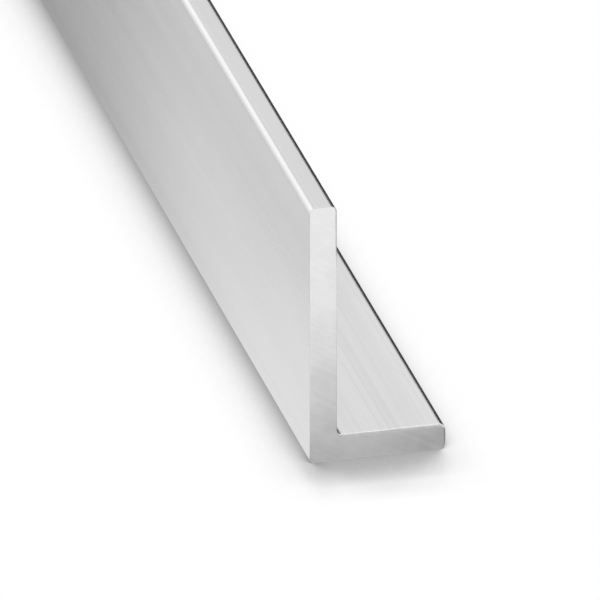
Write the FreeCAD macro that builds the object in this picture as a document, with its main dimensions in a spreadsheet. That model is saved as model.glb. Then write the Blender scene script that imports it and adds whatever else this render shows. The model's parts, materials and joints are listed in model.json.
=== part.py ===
"""Unequal-leg aluminium angle, 20 x 10 x 2 mm, one metre long: one extruded piece of stock.

Row frame, in millimetres: +Y along the bar, +Z up the tall leg, +X from the heel towards the tip of
the short leg. The origin is under the middle of the bar, on the surface it stands on.
"""

import FreeCAD, Part
import os

import Sketcher

# Driving dimensions: alias, value in millimetres, what it measures.
SIZES = [
    ("bar_length", 1000.0, "stock length, saw cut to saw cut"),
    ("tall_leg", 20.0, "outside height of the upright leg"),
    ("short_leg", 10.0, "outside width of the leg that lies flat"),
    ("tall_leg_wall", 2.0, "thickness of the upright leg"),
    ("short_leg_wall", 2.0, "thickness of the flat leg"),
    ("heel_radius", 0.5, "outside corner where the legs meet"),
    ("root_radius", 0.5, "fillet in the inside corner"),
    ("tall_tip_radius", 0.4, "both edges of the upright leg's tip"),
    ("short_tip_radius", 0.45, "both edges of the flat leg's tip"),
    ("deburr", 0.15, "broken edge round each sawn end"),
]


def add_sheet(doc):
    """Writes the driving dimensions into a spreadsheet and gives each cell its alias."""
    sheet = doc.addObject("Spreadsheet::Sheet", "sizes")
    for row, (alias, value, meaning) in enumerate(SIZES, start=1):
        sheet.set(f"A{row}", alias)
        sheet.set(f"B{row}", str(value))
        sheet.set(f"C{row}", meaning)
        sheet.setAlias(f"B{row}", alias)
    doc.recompute()
    return sheet


def origin_plane(body, role):
    """The body's own origin plane with this role, such as XZ_Plane."""
    return next(f for f in body.Origin.OriginFeatures if f.Role == role)


def section_corners(sheet):
    """The section's six sharp corners, anticlockwise from the heel: name, point, and its radius's cell.

    The heel is half the short leg to the left, so that the section is centred over its footprint.
    """
    left = -sheet.short_leg / 2
    right = sheet.short_leg / 2
    inner = left + sheet.tall_leg_wall
    shelf = sheet.short_leg_wall
    top = sheet.tall_leg
    return [
        ("heel", FreeCAD.Vector(left, 0), "heel_radius"),
        ("short_tip_under", FreeCAD.Vector(right, 0), "short_tip_radius"),
        ("short_tip_top", FreeCAD.Vector(right, shelf), "short_tip_radius"),
        ("root", FreeCAD.Vector(inner, shelf), "root_radius"),
        ("tall_tip_inside", FreeCAD.Vector(inner, top), "tall_tip_radius"),
        ("tall_tip_outside", FreeCAD.Vector(left, top), "tall_tip_radius"),
    ]


def round_corner(before, corner, after, radius):
    """Rounds one right-angled corner of the outline.

    Returns where the arc starts along the outline, the arc, where it ends, and whether it bulges out.
    """
    into = (corner - before).normalize()
    out = (after - corner).normalize()
    start = corner - into * radius
    end = corner + out * radius
    circle = Part.Circle(start + out * radius, FreeCAD.Vector(0, 0, 1), radius)
    convex = into.cross(out).z > 0
    first, last = (start, end) if convex else (end, start)
    arc = Part.ArcOfCircle(circle, circle.parameter(first), circle.parameter(last))
    return start, arc, end, convex


def add_outline(sketch, sheet, corners):
    """Adds a rounded arc at every corner and a straight face after it. Returns both, in outline order."""
    count = len(corners)
    points = [point for _, point, _ in corners]
    bends = []
    for i, (_, point, cell) in enumerate(corners):
        bends.append(round_corner(points[i - 1], point, points[(i + 1) % count], sheet.get(cell)))
    arcs = [sketch.addGeometry(arc, False) for _, arc, _, _ in bends]
    faces = []
    for i, (_, _, leaves, _) in enumerate(bends):
        arrives = bends[(i + 1) % count][0]
        faces.append(sketch.addGeometry(Part.LineSegment(leaves, arrives), False))
    for i, (_, _, _, convex) in enumerate(bends):
        # A sketched arc runs anticlockwise from its point 1, so the outline enters a hollow one at point 2.
        entry, leaving = (1, 2) if convex else (2, 1)
        sketch.addConstraint(Sketcher.Constraint("Tangent", faces[i - 1], 2, arcs[i], entry))
        sketch.addConstraint(Sketcher.Constraint("Tangent", faces[i], 1, arcs[i], leaving))
    return arcs, faces


def draw_section(body, sheet):
    """The die's opening as a sketch: six straight faces and six tangent arcs, fully constrained."""
    sketch = body.newObject("Sketcher::SketchObject", "section")
    sketch.AttachmentSupport = [(origin_plane(body, "XZ_Plane"), "")]
    sketch.MapMode = "FlatFace"

    corners = section_corners(sheet)
    arcs, faces = add_outline(sketch, sheet, corners)
    underside, short_tip, short_inside, tall_inside, tall_tip, tall_outside = faces
    for face in (underside, short_inside, tall_tip):
        sketch.addConstraint(Sketcher.Constraint("Horizontal", face))
    for face in (short_tip, tall_inside, tall_outside):
        sketch.addConstraint(Sketcher.Constraint("Vertical", face))

    def bind(name, expression, *constraint):
        """Adds a dimension and ties it to the spreadsheet."""
        index = sketch.addConstraint(Sketcher.Constraint(*constraint))
        sketch.renameConstraint(index, name)
        sketch.setExpression(f"Constraints.{name}", expression)

    origin = -1
    short_leg = sheet.short_leg
    sketch.addConstraint(Sketcher.Constraint("PointOnObject", underside, 1, origin))
    bind("centred", "sizes.short_leg / 2", "DistanceX", tall_outside, 1, origin, 1, short_leg / 2)
    bind("width", "sizes.short_leg", "DistanceX", tall_outside, 1, short_tip, 1, short_leg)
    bind("height", "sizes.tall_leg", "DistanceY", origin, 1, tall_tip, 1, sheet.tall_leg)
    upright = ("DistanceX", tall_outside, 1, tall_inside, 1, sheet.tall_leg_wall)
    bind("upright_wall", "sizes.tall_leg_wall", *upright)
    flat = ("DistanceY", origin, 1, short_inside, 1, sheet.short_leg_wall)
    bind("flat_wall", "sizes.short_leg_wall", *flat)
    for (name, _, cell), arc in zip(corners, arcs):
        bind(f"{name}_corner", f"sizes.{cell}", "Radius", arc, sheet.get(cell))
    return sketch


def extrude(body, sketch, sheet):
    """Runs the section out to the stock length, half to each side of the origin."""
    pad = body.newObject("PartDesign::Pad", "extrusion")
    pad.Profile = sketch
    pad.Midplane = True
    pad.Length = sheet.bar_length
    pad.setExpression("Length", "sizes.bar_length")
    return pad


def deburr_ends(body, pad, sheet):
    """Breaks every edge round the two sawn ends."""
    half = sheet.bar_length / 2
    hair = 1e-4
    ends = []
    for number, face in enumerate(pad.Shape.Faces, start=1):
        box = face.BoundBox
        if box.YLength < hair and abs(abs(box.YMin) - half) < hair:
            ends.append(f"Face{number}")
    if len(ends) != 2:
        raise RuntimeError(f"the bar has {len(ends)} sawn ends, and it should have 2")
    chamfer = body.newObject("PartDesign::Chamfer", "deburred_ends")
    chamfer.Base = (pad, ends)
    chamfer.Size = sheet.deburr
    chamfer.setExpression("Size", "sizes.deburr")


def angle_bar(doc, sheet):
    """The whole object: one extruded bar."""
    body = doc.addObject("PartDesign::Body", "angle_bar")
    body.Label = "angle_bar"
    sketch = draw_section(body, sheet)
    doc.recompute()
    pad = extrude(body, sketch, sheet)
    doc.recompute()
    deburr_ends(body, pad, sheet)
    doc.recompute()
    return body


def check(doc, body, sheet):
    """Stops on a failed feature, an unsound solid, or a volume that the section and length do not give."""
    for item in doc.Objects:
        if "Invalid" in item.State or "Error" in item.State:
            raise RuntimeError(f"{item.Name} failed: {item.State}")
    if not doc.section.FullyConstrained:
        raise RuntimeError("the section is not fully constrained")
    shape = body.Shape
    if shape.isNull() or not shape.isValid() or len(shape.Solids) != 1:
        raise RuntimeError(f"{body.Label} is not one sound solid")
    area = sheet.short_leg * sheet.short_leg_wall
    area += (sheet.tall_leg - sheet.short_leg_wall) * sheet.tall_leg_wall
    square_cornered = area * sheet.bar_length
    if not 0.95 * square_cornered < shape.Volume <= square_cornered:
        raise RuntimeError(f"{body.Label} holds {shape.Volume:.1f} mm3, not about {square_cornered:.1f}")
    print(f"{body.Label}: {shape.Volume:.1f} mm3, {shape.BoundBox}")


def main():
    doc = FreeCAD.newDocument("aluminium_angle")
    sheet = add_sheet(doc)
    body = angle_bar(doc, sheet)
    check(doc, body, sheet)
    os.makedirs("parts", exist_ok=True)
    body.Shape.exportStep(os.path.join("parts", f"{body.Label}.step"))


main()
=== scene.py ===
"""Looks of an extruded aluminium angle: its detailed mesh, its finishes, the floor, the light and the camera.

Everything is in metres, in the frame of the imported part: +Y along the bar, +Z up the tall leg, +X from
the heel towards the tip of the short leg, with the floor at the height of the origin.
"""

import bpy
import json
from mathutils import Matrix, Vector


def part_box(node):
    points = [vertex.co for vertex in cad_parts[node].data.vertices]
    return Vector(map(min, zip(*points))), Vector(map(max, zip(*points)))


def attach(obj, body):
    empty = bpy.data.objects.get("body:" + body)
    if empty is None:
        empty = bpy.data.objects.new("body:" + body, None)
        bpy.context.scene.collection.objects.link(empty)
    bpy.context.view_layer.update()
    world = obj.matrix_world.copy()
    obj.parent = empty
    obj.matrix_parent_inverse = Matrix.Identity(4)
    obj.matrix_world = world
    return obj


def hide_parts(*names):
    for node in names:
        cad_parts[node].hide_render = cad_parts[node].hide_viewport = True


bl_info = {
    "name": "Aluminium Angle",
    "version": (1, 0, 0),
    "blender": (4, 5, 0),
    "location": "3D View > Sidebar > Angle",
    "description": "Builds a mill-finished aluminium angle with sawn ends, and a stage to picture it on",
    "category": "Add Mesh",
}

import json
import math
import random
from typing import NamedTuple

import bmesh
import bpy
from bpy.props import FloatProperty, FloatVectorProperty, IntProperty, PointerProperty
from mathutils import Vector
from mathutils.geometry import delaunay_2d_cdt

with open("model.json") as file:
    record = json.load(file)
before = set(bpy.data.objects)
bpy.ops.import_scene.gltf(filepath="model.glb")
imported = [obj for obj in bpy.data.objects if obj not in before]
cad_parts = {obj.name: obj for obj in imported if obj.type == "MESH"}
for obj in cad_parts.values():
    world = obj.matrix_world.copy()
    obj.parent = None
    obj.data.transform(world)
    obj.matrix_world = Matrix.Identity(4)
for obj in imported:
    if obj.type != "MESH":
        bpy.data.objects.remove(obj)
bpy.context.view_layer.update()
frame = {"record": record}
bar_low, bar_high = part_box("angle_bar")
MM = 0.001

# How finely the mesh is drawn.
ARC_STEPS = 14
RIM_STEPS = 5
CAP_SPACING = 0.11 * MM

# One more ring stands this many rim sizes back from the end, so that the rim doesn't shade the flat faces.
RING_BEHIND_RIM = 1.25

# The die leaves this many lines, between these widths and these shares of the full depth.
DIE_LINES = 90
DIE_LINE_WIDTH = (0.06 * MM, 0.45 * MM)
DIE_LINE_SHARE = (0.15, 1.0)

# How hard the die drags on the outside faces, beside 1 inside the corner.
OUTER_DRAG = 0.3

# The middle of the saw's blade, which its arcs go round.
BLADE_X = 60 * MM
BLADE_Z = 115 * MM

# The sawn ends' finish is the second in the bar's list of materials, which counts from 0.
SAWN_FINISH = 1

# Worn edges: their colour, how far they go to it, and how much smoother they are.
WORN_COLOUR = (0.82, 0.82, 0.82)
WORN_TINT = 0.15
WORN_POLISH = 0.12

# Between which values the finishes' noise mostly lies, and how far it changes the roughness.
NOISE_SPAN = (0.3, 0.7)
STREAK_SPAN = (0.34, 0.66)
ROUGHNESS_SPREAD = 0.04

# The bar's shadow, painted into the floor's glow: its faint end is lifted to white, and the rest made deeper,
# to a limit.
# The heel's sawn corner adds a little more painted shadow, placed by position.
SHADOW_LIFT = 1.04
SHADOW_POWER = 1.08
DARKEST_SHADOW = 0.4
CORNER_SHADE = 0.21

# The room's colour, and the strength of its light.
WHITE = (1.0, 1.0, 1.0)
ROOM_STRENGTH = 0.75

# The camera: its sensor in millimetres, the point it looks at, counted from the heel's near corner, and the
# nearest and farthest that it sees.
SENSOR_WIDTH = 36.0
AIM_FROM_HEEL = Vector((-0.3957, 1.2481, 12.3537)) * MM
CLIP_START = 0.01
CLIP_END = 100.0

# The soft lamp over the bar, which points at the origin.
SOFTBOX_PLACE = (-0.3, -0.2, 1.8)
SOFTBOX_SIDE = 1.5
SOFTBOX_POWER = 7.0


def mount_place(name):
    """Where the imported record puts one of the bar's mounts."""
    for mount in frame["record"]["mounts"]:
        if mount["name"] == name:
            return Vector(mount["pos_m"])
    raise RuntimeError(f"the packed record has no mount named {name}")


def length_setting(name, description, default, smallest=0.0):
    """A length that a user can change, in metres."""
    return FloatProperty(
        name=name, description=description, default=default, min=smallest, unit="LENGTH", precision=5
    )


def angle_setting(name, description, degrees):
    """An angle that a user can change."""
    return FloatProperty(
        name=name, description=description, default=math.radians(degrees), subtype="ANGLE"
    )


def colour_setting(name, description, default):
    """A colour that a user can change."""
    return FloatVectorProperty(
        name=name, description=description, default=default, subtype="COLOR", min=0.0, max=1.0
    )


def share_setting(name, description, default):
    """A plain number from 0 to 1 that a user can change."""
    return FloatProperty(
        name=name, description=description, default=default, min=0.0, max=1.0, subtype="FACTOR"
    )


class BarSettings(bpy.types.PropertyGroup):
    """The bar's section, length and finish."""

    length: length_setting("Length", "From saw cut to saw cut", bar_high.y - bar_low.y)
    tall_leg: length_setting("Tall leg", "Outside height of the upright leg", bar_high.z - bar_low.z)
    short_leg: length_setting("Short leg", "Outside width of the flat leg", bar_high.x - bar_low.x)
    tall_wall: length_setting(
        "Tall leg's wall", "Thickness of the upright leg", mount_place("tall_leg_inner_face").x - bar_low.x
    )
    short_wall: length_setting(
        "Short leg's wall", "Thickness of the flat leg", mount_place("short_leg_inner_face").z - bar_low.z
    )
    heel_radius: length_setting("Heel radius", "Outside corner where the legs meet", 0.35 * MM)
    root_radius: length_setting("Root radius", "Fillet in the inside corner", 0.4 * MM)
    tall_tip_radius: length_setting("Tall tip radius", "Both edges of the upright leg's tip", 0.5 * MM)
    short_tip_radius: length_setting("Short tip radius", "Both edges of the flat leg's tip", 0.5 * MM)
    end_break: length_setting("End break", "Rounding round each sawn end", 0.03 * MM)
    side_break: length_setting(
        "Side break", "The same on the flat leg's top and tip, and near the upright leg's tip", 0.15 * MM
    )
    outline_step: length_setting(
        "Outline step", "Spacing of the points across a flat face", 0.12 * MM, smallest=0.01 * MM
    )
    ring_step: length_setting(
        "Ring step", "Spacing of the rings of points along the bar", 25 * MM, smallest=MM
    )
    outer_line_depth: length_setting("Outer line depth", "Deepest of the die's lines outside", 0.0022 * MM)
    inner_line_depth: length_setting(
        "Inner line depth", "Deepest of the die's lines inside the corner", 0.006 * MM
    )
    saw_mark_depth: length_setting("Saw mark depth", "Deepest of the arcs that the saw leaves", 0.003 * MM)
    mill_colour: colour_setting("Mill colour", "The extruded faces' metal", (0.735, 0.735, 0.738))
    sawn_colour: colour_setting("Sawn colour", "The freshly cut ends' metal", (0.92, 0.92, 0.92))
    mill_roughness: share_setting("Mill roughness", "How dull the extruded faces are", 0.3)
    sawn_roughness: share_setting("Sawn roughness", "How dull the sawn ends are", 0.42)
    seed: IntProperty(name="Seed", description="Which set of die lines the bar has", default=7)


class StageSettings(bpy.types.PropertyGroup):
    """The floor and the camera."""

    floor_size: length_setting("Floor size", "Side of the square floor", 8.0)
    floor_colour: colour_setting("Floor colour", "The paper that the bar stands on", (0.9, 0.9, 0.9))
    camera_distance: length_setting("Camera distance", "From the camera to the point it looks at", 1.5)
    camera_azimuth: angle_setting("Camera azimuth", "How far left of the bar's line the camera is", 14.161)
    camera_elevation: angle_setting("Camera elevation", "How far the camera looks down", 25.211)
    lens: FloatProperty(
        name="Lens", description="Focal length in millimetres, on a 36 mm sensor", default=1268.6
    )


class Graph:
    """Adds nodes to one node tree and links them. Each input is a value, or the output of another node."""

    def __init__(self, tree):
        self.tree = tree
        tree.nodes.clear()

    def add(self, kind, inputs=None, **settings):
        """Adds a node."""
        made = self.tree.nodes.new(kind)
        for name, value in settings.items():
            setattr(made, name, value)
        for key, value in (inputs or {}).items():
            if isinstance(value, bpy.types.NodeSocket):
                self.tree.links.new(value, made.inputs[key])
            else:
                made.inputs[key].default_value = value
        return made

    def math(self, operation, first, second):
        """The result of one sum."""
        return self.add("ShaderNodeMath", {0: first, 1: second}, operation=operation).outputs[0]

    def product(self, first, *others):
        """All the values multiplied together."""
        for other in others:
            first = self.math("MULTIPLY", first, other)
        return first

    def average(self, first, share, second):
        """The average of two values, in which the first counts for this share."""
        return self.math("ADD", self.product(first, share), self.product(second, 1 - share))

    def shift(self, value, patch, change):
        """The value, changed by this much where the patch is 1."""
        return self.math("ADD", value, self.product(patch, change))

    def ramp(self, value, start, end, low=0.0, high=1.0):
        """Goes smoothly from low to high while value goes from start to end."""
        inputs = {"Value": value, "From Min": start, "From Max": end, "To Min": low, "To Max": high}
        return self.add("ShaderNodeMapRange", inputs, interpolation_type="SMOOTHSTEP").outputs["Result"]

    def band(self, value, start, full, fade, end):
        """Goes smoothly from 0 at start to 1 at full, and from 1 at fade back to 0 at end."""
        return self.product(self.ramp(value, end, fade), self.ramp(value, start, full))

    def noise(self, place, across, along, detail=2.0):
        """Noise whose grain is so long across the bar and along it."""
        scale = (1 / across, 1 / along, 1 / across)
        spread = self.add("ShaderNodeMapping", {"Vector": place, "Scale": scale})
        inputs = {"Vector": spread.outputs[0], "Scale": 1.0, "Detail": detail}
        return self.add("ShaderNodeTexNoise", inputs).outputs["Fac"]

    def blend(self, share, first, second):
        """A colour between two colours, which the node takes at its sockets 6 and 7."""
        return self.add("ShaderNodeMix", {0: share, 6: first, 7: second}, data_type="RGBA").outputs[2]

    def choose(self, share, first, second):
        """The second of two shaders where share is 1, and the first where it is 0."""
        return self.add("ShaderNodeMixShader", {0: share, 1: first, 2: second}).outputs[0]


def rgba(colour, gain=1.0):
    """A colour made brighter or darker, with its alpha, as sockets hold it."""
    return (*(min(1.0, gain * part) for part in colour), 1.0)


def shades(colour, spread):
    """A darker and a brighter shade of a colour."""
    return rgba(colour, 1 - spread), rgba(colour, 1 + spread)


def start_material(name):
    """A new material, and the graph that its nodes go into."""
    material = bpy.data.materials.new(name)
    material.use_nodes = True
    return material, Graph(material.node_tree)


def add_object(context, name, data):
    """Puts a mesh, lamp or camera into the scene."""
    made = bpy.data.objects.new(name, data)
    context.scene.collection.objects.link(made)
    return made


class OutlinePoint(NamedTuple):
    """One point of the section: its place, the way out of the metal, how far round it is, how worn it is,
    and how hard the die drags there."""

    x: float
    z: float
    out_x: float
    out_z: float
    round: float
    wear: float
    drag: float


def section_corners(bar):
    """The section's sharp corners, anticlockwise from the heel: name, place and radius."""
    left = bar_low.x
    right = left + bar.short_leg
    inner = left + bar.tall_wall
    return [
        ("heel", (left, 0.0), bar.heel_radius),
        ("short_tip_under", (right, 0.0), bar.short_tip_radius),
        ("short_tip_top", (right, bar.short_wall), bar.short_tip_radius),
        ("root", (inner, bar.short_wall), bar.root_radius),
        ("tall_tip_inside", (inner, bar.tall_leg), bar.tall_tip_radius),
        ("tall_tip_outside", (left, bar.tall_leg), bar.tall_tip_radius),
    ]


def corner_arc(before, corner, after, radius):
    """Points on the rounding of one right-angled corner, each with the way out of the metal."""
    into = (corner - before).normalized()
    out = (after - corner).normalized()
    turn = 1.0 if into.cross(out) > 0 else -1.0
    centre = corner - into * radius + out * radius
    points = []
    for i in range(ARC_STEPS + 1):
        angle = math.pi / 2 * i / ARC_STEPS
        spoke = into * math.sin(angle) - out * math.cos(angle)
        points.append((centre + spoke * radius, spoke * turn))
    return points


def add_flat(points, target, step):
    """Adds evenly spaced points from the last point up to, but not including, the target."""
    start, out, _ = points[-1]
    count = max(2, round((target - start).length / step))
    for i in range(1, count):
        points.append((start.lerp(target, i / count), out, 0.0))


def smooth_outline(bar):
    """The section before the die marks it, anticlockwise: each point's place, way out and wear. Edges that
    stand out are worn, and most in the middle of their rounding."""
    corners = section_corners(bar)
    points = []
    for i, (name, place, radius) in enumerate(corners):
        before = Vector(corners[i - 1][1])
        after = Vector(corners[(i + 1) % len(corners)][1])
        arc = corner_arc(before, Vector(place), after, radius)
        if points:
            add_flat(points, arc[0][0], bar.outline_step)
        for step, (point, out) in enumerate(arc):
            wear = 0.0 if name == "root" else math.sin(math.pi * step / ARC_STEPS)
            points.append((point, out, wear))
    add_flat(points, points[0][0], bar.outline_step)
    return points


def die_lines(bar, perimeter):
    """A function that gives the depth of the die's lines at a distance round the section, from 0 to 2."""
    draw = random.Random(bar.seed)
    lines = []
    for _ in range(DIE_LINES):
        width = draw.uniform(*DIE_LINE_WIDTH)
        lines.append((draw.uniform(0, perimeter), width, draw.uniform(*DIE_LINE_SHARE)))
    widths_that_count = 4
    deepest = 2.0

    def depth(distance):
        """How deep all the lines are together at one place."""
        total = 0.0
        for centre, width, deep in lines:
            away = (distance - centre) / width
            if abs(away) < widths_that_count:
                total += deep * math.exp(-away * away)
        return min(total, deepest)

    return depth


def is_inside(bar, place, out):
    """Whether a point of the section is on a face that looks into the angle's corner."""
    inner = bar_low.x + bar.tall_wall
    faces_right = out.x > 0.9
    on_tall_leg = faces_right and place.x < inner + bar.root_radius
    on_short_leg = out.y > 0.0 and place.x > inner and place.y < bar.tall_leg / 2
    return on_tall_leg or on_short_leg


def section_outline(bar):
    """The whole section, anticlockwise: flat faces, roundings and the die's fine lengthwise lines."""
    smooth = smooth_outline(bar)
    perimeter = sum((smooth[i][0] - smooth[i - 1][0]).length for i in range(len(smooth)))
    depth = die_lines(bar, perimeter)
    outline = []
    distance = 0.0
    for i, (place, out, wear) in enumerate(smooth):
        if i:
            distance += (place - smooth[i - 1][0]).length
        inside = is_inside(bar, place, out)
        cut = place - out * depth(distance) * (bar.inner_line_depth if inside else bar.outer_line_depth)
        drag = 1.0 if inside else OUTER_DRAG
        outline.append(OutlinePoint(cut.x, cut.y, out.x, out.y, distance, wear, drag))
    return outline


def rim_size(bar, point):
    """How big the rounding of a sawn end's edge is at one point of the section. It is bigger on the short
    leg's top and tip, and near the tip of the tall leg's inner face."""
    side = max(0.0, point.out_x)
    if point.z < bar.tall_leg / 2:
        top = max(0.0, point.out_z)
        share = top * top + (side * side if point.z < bar.short_wall else 0.0)
    else:
        ends_below_tip = 5 * MM
        fades_over = 2 * MM
        below_tip = bar.tall_leg - point.z
        share = side * side * min(1.0, max(0.0, (ends_below_tip - below_tip) / fades_over))
    return bar.end_break + (bar.side_break - bar.end_break) * share


def ring_places(bar):
    """Where each ring of points is along the bar. Each has its y, and the shares of the rim's size by which
    it is drawn back along the bar and drawn in from the outline."""
    half = bar.length / 2
    rim = []
    for i in range(RIM_STEPS + 1):
        angle = math.pi / 2 * i / RIM_STEPS
        rim.append((1 - math.cos(angle), 1 - math.sin(angle)))
    rim.append((RING_BEHIND_RIM, 0.0))
    clear_of_rim = half - 3 * max(bar.end_break, bar.side_break)
    count = math.ceil(2 * clear_of_rim / bar.ring_step)
    places = [(-half, back, inset) for back, inset in rim]
    places += [(clear_of_rim * (2 * i / count - 1), 0.0, 0.0) for i in range(count + 1)]
    places += [(half, -back, inset) for back, inset in reversed(rim)]
    return places


def saw_recess(bar, x, z):
    """How far a blade's arcs lie below the cut at one place of a sawn end. There are coarse and fine arcs,
    0.42 and 0.19 mm apart on average, and both wander."""
    reach = math.hypot(x - BLADE_X, z - BLADE_Z) / MM
    wander = 1.4 * math.sin(reach * 1.9) + 0.8 * math.sin(reach * 4.3 + 1.0) + 2.0 * math.sin(x / MM * 0.9)
    coarse = math.sin(reach * 15.0 + wander)
    fine = math.sin(reach * 33.0 + 2.0 * wander)
    return bar.saw_mark_depth * (0.5 + (coarse + 0.5 * fine) / 3)


def end_inside(bar, spacing):
    """Points spread over a sawn end, clear of its edge."""
    left, right = bar_low.x, bar_low.x + bar.short_leg
    inner = left + bar.tall_wall
    margin = max(bar.end_break, bar.side_break) + spacing
    points = []
    for row in range(int(bar.tall_leg / spacing)):
        z = margin + row * spacing
        limit = right if z < bar.short_wall - margin else inner
        if z > bar.tall_leg - margin:
            break
        for column in range(int(bar.short_leg / spacing)):
            x = left + margin + (column + 0.5 * (row % 2)) * spacing
            if x > limit - margin:
                break
            points.append(Vector((x, z)))
    return points


def cap_end(mesh, bar, ring, y, inward):
    """Closes a sawn end with fine triangles that carry the saw's marks. The triangulation fills the outline's
    whole hull, and the triangles that lie in no outline are left out."""
    edge = [Vector((vertex.co.x, vertex.co.z)) for vertex in ring]
    inside = end_inside(bar, CAP_SPACING)
    scaled = [point / MM for point in edge + inside]
    border = list(range(len(edge)))
    whole_hull = 0
    merge_within = 1e-6
    filled = delaunay_2d_cdt(scaled, [], [border], whole_hull, merge_within, True)
    points, _, faces, sources, _, within = filled
    vertices = []
    for point, source in zip(points, sources):
        if source and source[0] < len(ring):
            vertices.append(ring[source[0]])
        else:
            x, z = point.x * MM, point.y * MM
            vertices.append(mesh.verts.new((x, y + inward * saw_recess(bar, x, z), z)))
    made = []
    for face, owners in zip(faces, within):
        if not owners:
            continue
        corners = [vertices[i] for i in face]
        if inward < 0:
            corners.reverse()
        made.append(mesh.faces.new(corners))
    return made


def add_rings(mesh, bar, outline):
    """Adds the rings of points, from the near end to the far one."""
    wear = mesh.verts.layers.float["edge_wear"]
    drag = mesh.verts.layers.float["die_drag"]
    rings = []
    for y, drawn_back, drawn_in in ring_places(bar):
        ring = []
        for point in outline:
            size = rim_size(bar, point)
            inset = size * drawn_in
            place = (point.x - point.out_x * inset, y + size * drawn_back, point.z - point.out_z * inset)
            vertex = mesh.verts.new(place)
            vertex[wear] = point.wear
            vertex[drag] = point.drag
            ring.append(vertex)
        rings.append(ring)
    return rings


def join_rings(mesh, rings, outline):
    """Adds the faces between each ring and the next. Their U is the distance round, and their V is y."""
    unwrap = mesh.loops.layers.uv["round_and_along"]
    first, last = outline[0], outline[-1]
    round_total = last.round + Vector((first.x - last.x, first.z - last.z)).length
    for near, far in zip(rings, rings[1:]):
        for i, point in enumerate(outline):
            j = (i + 1) % len(outline)
            face = mesh.faces.new((near[i], far[i], far[j], near[j]))
            next_round = outline[j].round if j else round_total
            for loop, u in zip(face.loops, (point.round, point.round, next_round, next_round)):
                loop[unwrap].uv = (u, loop.vert.co.y)


def bar_mesh(bar):
    """The bar's mesh: its long faces, its two sawn ends, their unwrapping, and how worn and dragged it is."""
    mesh = bmesh.new()
    mesh.verts.layers.float.new("edge_wear")
    mesh.verts.layers.float.new("die_drag")
    unwrap = mesh.loops.layers.uv.new("round_and_along")
    outline = section_outline(bar)
    rings = add_rings(mesh, bar, outline)
    join_rings(mesh, rings, outline)
    half = bar.length / 2
    for ring, y, inward in ((rings[0], -half, 1.0), (rings[-1], half, -1.0)):
        for face in cap_end(mesh, bar, ring, y, inward):
            face.material_index = SAWN_FINISH
            for loop in face.loops:
                loop[unwrap].uv = (loop.vert.co.x, loop.vert.co.z)
    for face in mesh.faces:
        face.smooth = True
    mesh.normal_update()
    data = bpy.data.meshes.new("extruded_angle")
    mesh.to_mesh(data)
    mesh.free()
    return data


def roughness(g, noise, middle):
    """A roughness that varies a little about the middle one."""
    return g.ramp(noise, *NOISE_SPAN, middle - ROUGHNESS_SPREAD, middle + ROUGHNESS_SPREAD)


def mill_finish(bar):
    """Extruded aluminium: satin, drawn out lengthwise by the die, and smoother where edges have rubbed."""
    material, g = start_material("mill_aluminium")
    place = g.add("ShaderNodeTexCoord").outputs["Object"]
    worn = g.add("ShaderNodeAttribute", attribute_name="edge_wear").outputs["Fac"]
    drag = g.add("ShaderNodeAttribute", attribute_name="die_drag").outputs["Fac"]
    fine = g.noise(place, 0.14 * MM, 60 * MM, detail=3.0)
    broad = g.noise(place, 1.1 * MM, 400 * MM)
    cloud = g.noise(place, 7 * MM, 22 * MM)
    streak = g.average(fine, 0.45, broad)
    strength = g.product(g.math("SUBTRACT", g.ramp(streak, *STREAK_SPAN), 0.5), drag)
    colour = g.blend(g.math("ADD", strength, 0.5), *shades(bar.mill_colour, 0.08))
    colour = g.blend(g.product(worn, WORN_TINT), colour, rgba(WORN_COLOUR))
    rough = roughness(g, g.average(streak, 0.6, cloud), bar.mill_roughness)
    rough = g.shift(rough, worn, -WORN_POLISH)
    grain = g.add("ShaderNodeBump", {"Height": fine, "Strength": 0.25, "Distance": 0.003 * MM})
    tangent = g.add("ShaderNodeTangent", direction_type="UV_MAP", uv_map="round_and_along")
    metal = {
        "Base Color": colour,
        "Metallic": 1.0,
        "Roughness": rough,
        "Anisotropic": 0.5,
        "Tangent": tangent.outputs[0],
        "Normal": grain.outputs[0],
    }
    surface = g.add("ShaderNodeBsdfPrincipled", metal)
    g.add("ShaderNodeOutputMaterial", {"Surface": surface.outputs[0]})
    return material


def saw_arcs(g, place):
    """Noise in arcs about the middle of the blade."""
    from_blade = {0: place, 1: (BLADE_X, 0.0, BLADE_Z)}
    away = g.add("ShaderNodeVectorMath", from_blade, operation="SUBTRACT").outputs[0]
    flat = g.add("ShaderNodeVectorMath", {0: away, 1: (1.0, 0.0, 1.0)}, operation="MULTIPLY").outputs[0]
    reach = g.add("ShaderNodeVectorMath", {0: flat}, operation="LENGTH").outputs["Value"]
    spacing = 0.35 * MM
    arcs = {"W": reach, "Scale": 1 / spacing, "Detail": 3.0}
    return g.add("ShaderNodeTexNoise", arcs, noise_dimensions="1D").outputs["Fac"]


def sawn_finish(bar):
    """Freshly sawn aluminium: brighter metal, with the blade's arcs across it."""
    material, g = start_material("sawn_aluminium")
    place = g.add("ShaderNodeTexCoord").outputs["Object"]
    arcs = saw_arcs(g, place)
    cloud = g.noise(place, 1.6 * MM, 1.6 * MM, detail=3.0)
    mottle = g.average(arcs, 0.3, cloud)
    grain = g.add("ShaderNodeBump", {"Height": arcs, "Strength": 0.2, "Distance": 0.004 * MM})
    metal = {
        "Base Color": g.blend(g.ramp(mottle, *NOISE_SPAN), *shades(bar.sawn_colour, 0.05)),
        "Metallic": 1.0,
        "Roughness": roughness(g, mottle, bar.sawn_roughness),
        "Normal": grain.outputs[0],
    }
    surface = g.add("ShaderNodeBsdfPrincipled", metal)
    g.add("ShaderNodeOutputMaterial", {"Surface": surface.outputs[0]})
    return material


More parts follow.
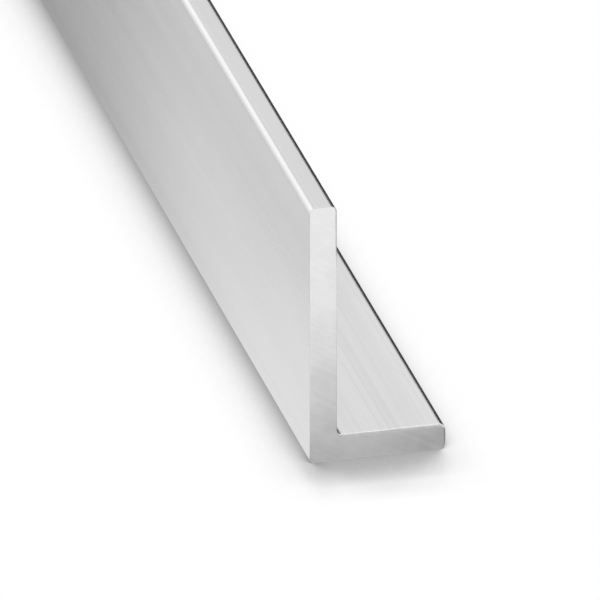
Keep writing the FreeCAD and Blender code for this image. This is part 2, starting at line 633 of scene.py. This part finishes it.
class ANGLE_OT_build_bar(bpy.types.Operator):
    """Builds the extruded bar in place of the plain one, with its two finishes"""

    bl_idname = "angle.build_bar"
    bl_label = "Build Bar"

    def execute(self, context):
        bar = context.scene.angle_bar_settings
        piece = add_object(context, "extruded_angle", bar_mesh(bar))
        for finish in (mill_finish(bar), sawn_finish(bar)):
            piece.data.materials.append(finish)
        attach(piece, "root")
        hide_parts("angle_bar")
        return {"FINISHED"}


def floor_place(g):
    """Where a point of the floor is: how far left of the bar, right of it, and along it from the near end."""
    place = g.add("ShaderNodeNewGeometry").outputs["Position"]
    x, y, _ = g.add("ShaderNodeSeparateXYZ", {0: place}).outputs
    left = g.math("SUBTRACT", bar_low.x, x)
    right = g.math("SUBTRACT", x, bar_high.x)
    along = g.math("SUBTRACT", y, bar_low.y)
    return left, right, along


def unblocked_light(g, lean, reach, strength, curve):
    """How much light that leans one way gets past the bar in reach to the floor; it is painted into the
    paper's glow.
    """
    way = g.add("ShaderNodeCombineXYZ", {0: lean[0], 1: lean[1], 2: lean[2]}).outputs[0]
    way = g.add("ShaderNodeVectorMath", {0: way}, operation="NORMALIZE").outputs[0]
    inputs = {"Distance": reach, "Normal": way}
    open_share = g.add("ShaderNodeAmbientOcclusion", inputs, samples=32).outputs["AO"]
    blocked = g.math("POWER", g.math("SUBTRACT", 1.0, open_share), curve)
    return g.math("SUBTRACT", 1.0, g.product(blocked, strength))


def corner_light(g):
    """A little shadow painted on the floor by position ahead of the heel's sawn corner, where two sides'
    shadows meet.
    """
    left, _, along = floor_place(g)
    across_corner = g.band(left, -1.7 * MM, 0.0, 0.0, 1.5 * MM)
    ahead_of_end = g.band(along, -6.5 * MM, 0.0, -0.5 * MM, 2.5 * MM)
    return g.math("SUBTRACT", 1.0, g.product(across_corner, ahead_of_end, CORNER_SHADE))


def seen_paper(g):
    """How bright the lens sees the floor: white, but for the bar's shadow, which is painted into its glow."""
    near = unblocked_light(g, lean=(0.106, 1.0, -0.47), reach=4.35 * MM, strength=2.27, curve=1.5)
    wide = unblocked_light(g, lean=(0.139, 1.0, -1.365), reach=7.48 * MM, strength=18.3, curve=1.76)
    under = unblocked_light(g, lean=(-0.062, -0.467, 1.0), reach=3.73 * MM, strength=3.81, curve=2.78)
    lifted = g.math("MINIMUM", g.product(near, wide, under, SHADOW_LIFT), 1.0)
    shadow = g.math("MAXIMUM", g.math("POWER", lifted, SHADOW_POWER), DARKEST_SHADOW)
    return g.product(shadow, corner_light(g))


def mirrored_side(g, left, along):
    """How much painted shade, dimmer than white, the metal mirrors on the paper to its left. It dims with the
    distance, slant, from a line that leaves the near end 14 degrees left of the bar, and is bright again
    further out."""
    turn = math.radians(14.188)
    slant = g.math("SUBTRACT", g.product(along, math.sin(turn)), g.product(left, math.cos(turn)))

    # It dims away from the line, and is less dim again well past it.
    dim = g.ramp(slant, 1.2 * MM, 20.6 * MM, 0.065, 0.585)
    dim = g.shift(dim, g.ramp(slant, 24 * MM, 60 * MM), -0.4)

    # A few millimetres out it is dimmer by the line, and a little less dim just past it.
    by_line = g.product(g.ramp(left, 4 * MM, 9.5 * MM), g.band(slant, -1 * MM, 1 * MM, 2 * MM, 7 * MM))
    dim = g.shift(dim, by_line, 0.2)
    past_line = g.product(g.ramp(left, 3.5 * MM, 6 * MM), g.band(slant, 2 * MM, 5 * MM, 7.5 * MM, 10.5 * MM))
    dim = g.shift(dim, past_line, -0.06)

    # It is dimmer further out, and beyond that is bright paper.
    dim = g.shift(dim, g.ramp(left, 7.5 * MM, 12 * MM), 0.3)
    further_out = g.product(g.ramp(left, 14 * MM, 19 * MM), g.ramp(along, 35 * MM, 50 * MM))
    dim = g.product(dim, g.math("SUBTRACT", 1.0, further_out))
    dim = g.shift(dim, further_out, -0.25)

    # All of it lies beside the bar, and the paper at the heel's foot gets a little painted contact shade.
    dim = g.product(dim, g.product(g.ramp(left, -2 * MM, 0.0), g.ramp(along, -0.6 * MM, 2 * MM)))
    at_heel = g.product(g.ramp(left, 0.35 * MM, -0.1 * MM), g.ramp(along, -0.6 * MM, 1 * MM))
    return g.math("MAXIMUM", dim, g.product(at_heel, 0.15))


def mirrored_front(g, left, right, along):
    """How much painted shade, dimmer than white, the metal mirrors on a strip of paper just in front of the
    near end.
    """
    dim = g.ramp(along, -34 * MM, 3 * MM, -0.02, 0.58)
    to_the_right = g.product(g.ramp(right, -8 * MM, 2 * MM), g.ramp(along, -15 * MM, -3 * MM))
    dim = g.shift(dim, to_the_right, 0.09)
    in_front = g.ramp(along, 2 * MM, -0.6 * MM)
    return g.product(dim, in_front, g.ramp(left, 6 * MM, 1 * MM), g.ramp(right, 11 * MM, 6 * MM))


def mirrored_painted_dark_patch(g, right, along):
    """How much darker than white the metal mirrors a dark patch painted on the paper to its right, in place
    of a dark card.
    """
    # Its near edge runs out aslant from the toe, and further right it comes nearer again.
    edge = g.math("SUBTRACT", along, g.product(right, 1.5))
    beside = g.product(g.ramp(edge, -0.5 * MM, 2 * MM), g.ramp(right, 0.0, 2 * MM))
    far_right = g.ramp(right, 25 * MM, 29 * MM)
    corner = g.product(far_right, g.ramp(along, 1 * MM, 6 * MM))
    in_front = g.product(far_right, g.ramp(along, -22 * MM, -14 * MM, high=0.6))
    dark = g.product(g.math("MAXIMUM", beside, g.math("MAXIMUM", corner, in_front)), 0.96)

    # Far along the bar only its right part is left.
    not_far_along = g.math("MAXIMUM", g.ramp(along, 330 * MM, 150 * MM), g.ramp(right, 60 * MM, 90 * MM))
    dark = g.product(dark, not_far_along)

    # A dim patch of painted shade lies by the toe.
    across_toe = g.band(right, 0.3 * MM, 1.2 * MM, 5 * MM, 7 * MM)
    by_toe = g.product(across_toe, g.band(along, -5 * MM, -3 * MM, 6 * MM, 10 * MM))
    return g.math("MAXIMUM", dark, g.product(by_toe, 0.75))


def mirrored_paper(g):
    """How bright the metal mirrors the floor, which carries painted shade: white, with a painted dim side to
    the left that ends in bright paper, a painted dimmer strip just in front of the near end, and a painted
    dark patch to the right."""
    left, right, along = floor_place(g)
    paper = g.math("MAXIMUM", mirrored_side(g, left, along), mirrored_front(g, left, right, along))
    return g.math("SUBTRACT", 1.0, g.math("MAXIMUM", paper, mirrored_painted_dark_patch(g, right, along)))


def paper_material(stage):
    """White paper that glows with painted shade. It looks one way to the lens, with the bar's shadow painted
    in, and another to the metal that mirrors it, with painted dim parts and a painted dark patch, and
    scatters light as plain paper does."""
    material, g = start_material("white_paper")
    seen = g.add("ShaderNodeEmission", {"Color": seen_paper(g), "Strength": 1.0})
    mirrored = g.add("ShaderNodeEmission", {"Color": mirrored_paper(g), "Strength": 1.0})
    lit = g.add("ShaderNodeBsdfDiffuse", {"Color": rgba(stage.floor_colour)})
    rays = g.add("ShaderNodeLightPath").outputs
    surface = g.choose(rays["Is Glossy Ray"], lit.outputs[0], mirrored.outputs[0])
    to_lens = g.math("MAXIMUM", rays["Is Camera Ray"], rays["Is Transmission Ray"])
    surface = g.choose(to_lens, surface, seen.outputs[0])
    g.add("ShaderNodeOutputMaterial", {"Surface": surface})
    return material


def add_floor(context, stage):
    """A square of paper under the bar."""
    sheet = bmesh.new()
    bmesh.ops.create_grid(sheet, x_segments=1, y_segments=1, size=stage.floor_size / 2)
    data = bpy.data.meshes.new("paper_floor")
    sheet.to_mesh(data)
    sheet.free()
    data.materials.append(paper_material(stage))
    floor = add_object(context, "paper_floor", data)


def mirrored_room(g):
    """How bright the metal mirrors the room in each direction: white, with a bright strip ahead on the left,
    a dark side ahead on the right with a bright one above it, a dimmer one between those, and a dimmer
    room overhead and behind. In a direction, x is to the right, y ahead along the bar, and z up."""
    way = g.add("ShaderNodeTexCoord").outputs["Generated"]
    x, y, z = g.add("ShaderNodeSeparateXYZ", {0: way}).outputs
    ahead = g.ramp(y, 0.2, 0.6)
    left = g.ramp(x, -0.21, -0.28)
    strip = g.product(ahead, left, g.ramp(z, 0.6, 0.47))
    dark = g.product(ahead, g.ramp(x, 0.05, 0.18), g.ramp(y, 0.62, 0.78), g.ramp(z, 0.385, 0.305))
    above = g.product(ahead, g.ramp(x, 0.08, 0.2), g.ramp(z, 0.36, 0.44))
    between = g.product(ahead, g.math("SUBTRACT", g.ramp(x, 0.15, 0.05), left), g.ramp(z, 0.43, 0.47))
    overhead = g.product(g.ramp(z, 0.6, 0.8), g.ramp(y, 0.75, 0.4))
    behind = g.product(g.ramp(z, -0.02, 0.05), g.ramp(y, -0.1, -0.4))
    dimmer = g.math("MAXIMUM", overhead, behind)
    level = 1.0
    for patch, change in ((strip, 0.25), (above, 0.29), (between, -0.18), (dimmer, -0.3), (dark, -0.96)):
        level = g.shift(level, patch, change)
    return level


def light_world(context):
    """A white room: plain to the lens, and with brighter and darker sides for the metal to mirror."""
    world = bpy.data.worlds.new("white_room")
    world.use_nodes = True
    context.scene.world = world
    g = Graph(world.node_tree)
    mirrored = g.add("ShaderNodeBackground", {"Color": mirrored_room(g), "Strength": 1.0})
    plain = g.add("ShaderNodeBackground", {"Color": rgba(WHITE), "Strength": 1.0})
    soft = g.add("ShaderNodeBackground", {"Color": rgba(WHITE), "Strength": ROOM_STRENGTH})
    rays = g.add("ShaderNodeLightPath").outputs
    surface = g.choose(rays["Is Glossy Ray"], soft.outputs[0], mirrored.outputs[0])
    surface = g.choose(rays["Is Camera Ray"], surface, plain.outputs[0])
    g.add("ShaderNodeOutputWorld", {"Surface": surface})


def stand_facing(item, place, way):
    """Stands a camera or a lamp at a place, facing one way."""
    item.location = place
    item.rotation_mode = "QUATERNION"
    item.rotation_quaternion = way.to_track_quat("-Z", "Y")


def add_camera(context, stage):
    """A long lens that looks down on the near sawn end."""
    data = bpy.data.cameras.new("camera")
    data.lens = stage.lens
    data.sensor_width = SENSOR_WIDTH
    data.clip_start = CLIP_START
    data.clip_end = CLIP_END
    turn, rise = stage.camera_azimuth, stage.camera_elevation
    back = Vector((-math.sin(turn) * math.cos(rise), -math.cos(turn) * math.cos(rise), math.sin(rise)))
    aim = Vector((bar_low.x, bar_low.y, bar_low.z)) + AIM_FROM_HEEL
    camera = add_object(context, "camera", data)
    stand_facing(camera, aim + back * stage.camera_distance, -back)
    context.scene.camera = camera


def add_softbox(context):
    """A large square soft lamp over the bar."""
    data = bpy.data.lights.new("overhead_softbox", "AREA")
    data.size = SOFTBOX_SIDE
    data.energy = SOFTBOX_POWER
    place = Vector(SOFTBOX_PLACE)
    stand_facing(add_object(context, "overhead_softbox", data), place, -place)


class ANGLE_OT_build_stage(bpy.types.Operator):
    """Builds the floor, the light and the camera"""

    bl_idname = "angle.build_stage"
    bl_label = "Build Stage"

    def execute(self, context):
        stage = context.scene.angle_stage_settings
        context.scene.view_settings.view_transform = "Standard"
        add_floor(context, stage)
        light_world(context)
        add_softbox(context)
        add_camera(context, stage)
        return {"FINISHED"}


class ANGLE_PT_panel(bpy.types.Panel):
    """Lists what the angle is built from"""

    bl_idname = "ANGLE_PT_panel"
    bl_label = "Aluminium Angle"
    bl_space_type = "VIEW_3D"
    bl_region_type = "UI"
    bl_category = "Angle"

    def draw(self, context):
        operators = {"angle_bar_settings": "angle.build_bar", "angle_stage_settings": "angle.build_stage"}
        for settings, operator in operators.items():
            group = getattr(context.scene, settings)
            box = self.layout.box()
            for name in group.__annotations__:
                box.prop(group, name)
            box.operator(operator)


CLASSES = (BarSettings, StageSettings, ANGLE_OT_build_bar, ANGLE_OT_build_stage, ANGLE_PT_panel)


def register():
    """Makes the operators, the panel and the settings known to Blender."""
    for item in CLASSES:
        bpy.utils.register_class(item)
    bpy.types.Scene.angle_bar_settings = PointerProperty(type=BarSettings)
    bpy.types.Scene.angle_stage_settings = PointerProperty(type=StageSettings)


def unregister():
    """Takes them away again."""
    del bpy.types.Scene.angle_stage_settings
    del bpy.types.Scene.angle_bar_settings
    for item in reversed(CLASSES):
        bpy.utils.unregister_class(item)


def main():
    """Builds everything."""
    register()
    bpy.ops.angle.build_bar()
    bpy.ops.angle.build_stage()


if __name__ == "__main__":
    main()
